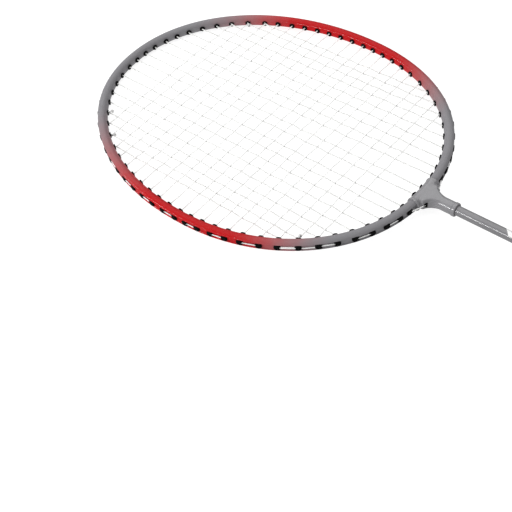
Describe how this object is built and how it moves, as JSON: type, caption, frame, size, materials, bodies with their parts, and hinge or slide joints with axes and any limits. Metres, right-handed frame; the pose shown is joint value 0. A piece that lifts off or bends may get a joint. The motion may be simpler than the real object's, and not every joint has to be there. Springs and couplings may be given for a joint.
{
  "type": "badminton racket",
  "caption": "Badminton racket with an oval tube head joined to a round shaft by a T-joint, a woven string bed held by grommets, and an octagonal wrapped handle.",
  "frame": {"origin": "centre of the flat butt face at the end of the handle", "axes": "+Y along the racket from the butt to the tip of the head, +Z square to the string bed, +X across the head"},
  "size_m": [0.2052, 0.6602, 0.0266],
  "materials": {
    "hoop_paint": "gloss, red sides fading to grey at the tip and the throat",
    "joint_paint": "gloss grey with fine metallic flake",
    "shaft_paint": null,
    "collar_paint": "gloss grey",
    "grommet_nylon": "satin black nylon",
    "string_nylon": "smooth white nylon",
    "handle_wood": "bare sanded beech",
    "grip_foam": "perforated foam wrap",
    "finishing_tape": "smooth vinyl tape",
    "black_plastic": "satin moulded plastic"
  },
  "bodies": {
    "root": {"head_frame": "hoop_paint", "throat_joint": "joint_paint", "stem_collar": "collar_paint", "main_string": "string_nylon", "cross_string": "string_nylon", "shaft": "shaft_paint", "handle_core": "handle_wood", "grip_wrap": "grip_foam", "grip_finishing_tape": "finishing_tape", "butt_cap": "black_plastic", "handle_cone": "black_plastic", "stem_grommet_left": "grommet_nylon", "throat_grommet_left": "grommet_nylon", "grommet_pair_left_01": "grommet_nylon", "grommet_pair_left_02": "grommet_nylon", "grommet_pair_left_03": "grommet_nylon", "grommet_pair_left_04": "grommet_nylon", "grommet_pair_left_05": "grommet_nylon", "grommet_pair_left_06": "grommet_nylon", "grommet_pair_left_07": "grommet_nylon", "grommet_pair_left_08": "grommet_nylon", "grommet_pair_left_09": "grommet_nylon", "grommet_pair_left_10": "grommet_nylon", "grommet_pair_left_11": "grommet_nylon", "grommet_pair_left_12": "grommet_nylon", "grommet_pair_left_13": "grommet_nylon", "grommet_pair_left_14": "grommet_nylon", "grommet_pair_left_15": "grommet_nylon", "grommet_pair_left_16": "grommet_nylon", "stem_grommet_right": "grommet_nylon", "throat_grommet_right": "grommet_nylon", "grommet_pair_right_01": "grommet_nylon", "grommet_pair_right_02": "grommet_nylon", "grommet_pair_right_03": "grommet_nylon", "grommet_pair_right_04": "grommet_nylon", "grommet_pair_right_05": "grommet_nylon", "grommet_pair_right_06": "grommet_nylon", "grommet_pair_right_07": "grommet_nylon", "grommet_pair_right_08": "grommet_nylon", "grommet_pair_right_09": "grommet_nylon", "grommet_pair_right_10": "grommet_nylon", "grommet_pair_right_11": "grommet_nylon", "grommet_pair_right_12": "grommet_nylon", "grommet_pair_right_13": "grommet_nylon", "grommet_pair_right_14": "grommet_nylon", "grommet_pair_right_15": "grommet_nylon", "grommet_pair_right_16": "grommet_nylon"}
  },
  "joints": []
}
